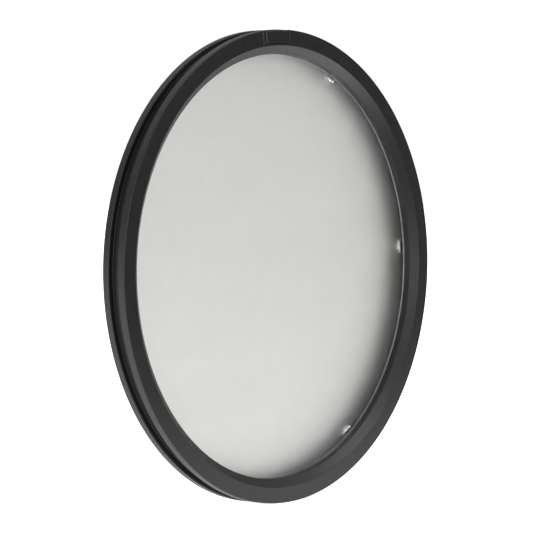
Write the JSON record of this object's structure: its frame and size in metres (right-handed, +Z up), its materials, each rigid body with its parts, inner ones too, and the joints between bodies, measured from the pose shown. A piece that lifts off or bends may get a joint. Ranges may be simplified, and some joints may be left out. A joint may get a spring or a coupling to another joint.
{
  "type": "ring-framed prism disc",
  "caption": "Thin round black ring cell with a groove round its rim, holding a translucent ribbed disc behind a bevelled lip by spring clips and a threaded rear collar.",
  "frame": {"origin": "on the optical axis, in the middle plane of the groove round the rim, where a holder grips the ring", "axes": "+Y along the optical axis out of the rear collar, -Y out of the front face, +Z up with the ring upright as in use, +X to the right seen from the front; the index insert lies 4.5 degrees anticlockwise of +Z seen from the front"},
  "size_m": [0.1, 0.0092, 0.1],
  "materials": {
    "black_plastic": "satin black moulded plastic with a very fine grain",
    "insert_plastic": "satin black moulded plastic",
    "clear_silicone": "clear to milky silicone rubber, satin",
    "clear_plastic": "clear moulded plastic with fine straight prism ribs, milky seen as a whole",
    "spring_steel": "bright spring steel",
    "black_metal": "satin black anodised aluminium"
  },
  "bodies": {
    "cell": {"cell_ring": "black_plastic", "index_insert": "insert_plastic", "front_gasket": "clear_silicone"},
    "disc": {"prism_disc": "clear_plastic"},
    "clips": {"spring_clip_1": "spring_steel", "spring_clip_2": "spring_steel", "spring_clip_3": "spring_steel", "spring_clip_4": "spring_steel", "spring_clip_5": "spring_steel", "spring_clip_6": "spring_steel"},
    "collar": {"retaining_collar": "black_metal"}
  },
  "joints": [
    {"name": "disc_turn", "type": "hinge", "parent": "cell", "child": "disc", "pos_m": [0, 0, 0], "axis": [0, 1, 0], "continuous": true},
    {"name": "clip_travel", "type": "slide", "parent": "cell", "child": "clips", "axis": [0, 1, 0], "range_m": [0, 0.00076]},
    {"name": "collar_turn", "type": "hinge", "parent": "clips", "child": "collar", "pos_m": [0, 0, 0], "axis": [0, 1, 0], "range_deg": [0, 360]}
  ],
  "couplings": [
    {"joint": "clip_travel", "follows": "collar_turn", "m_per_rad": 0.00011937}
  ]
}
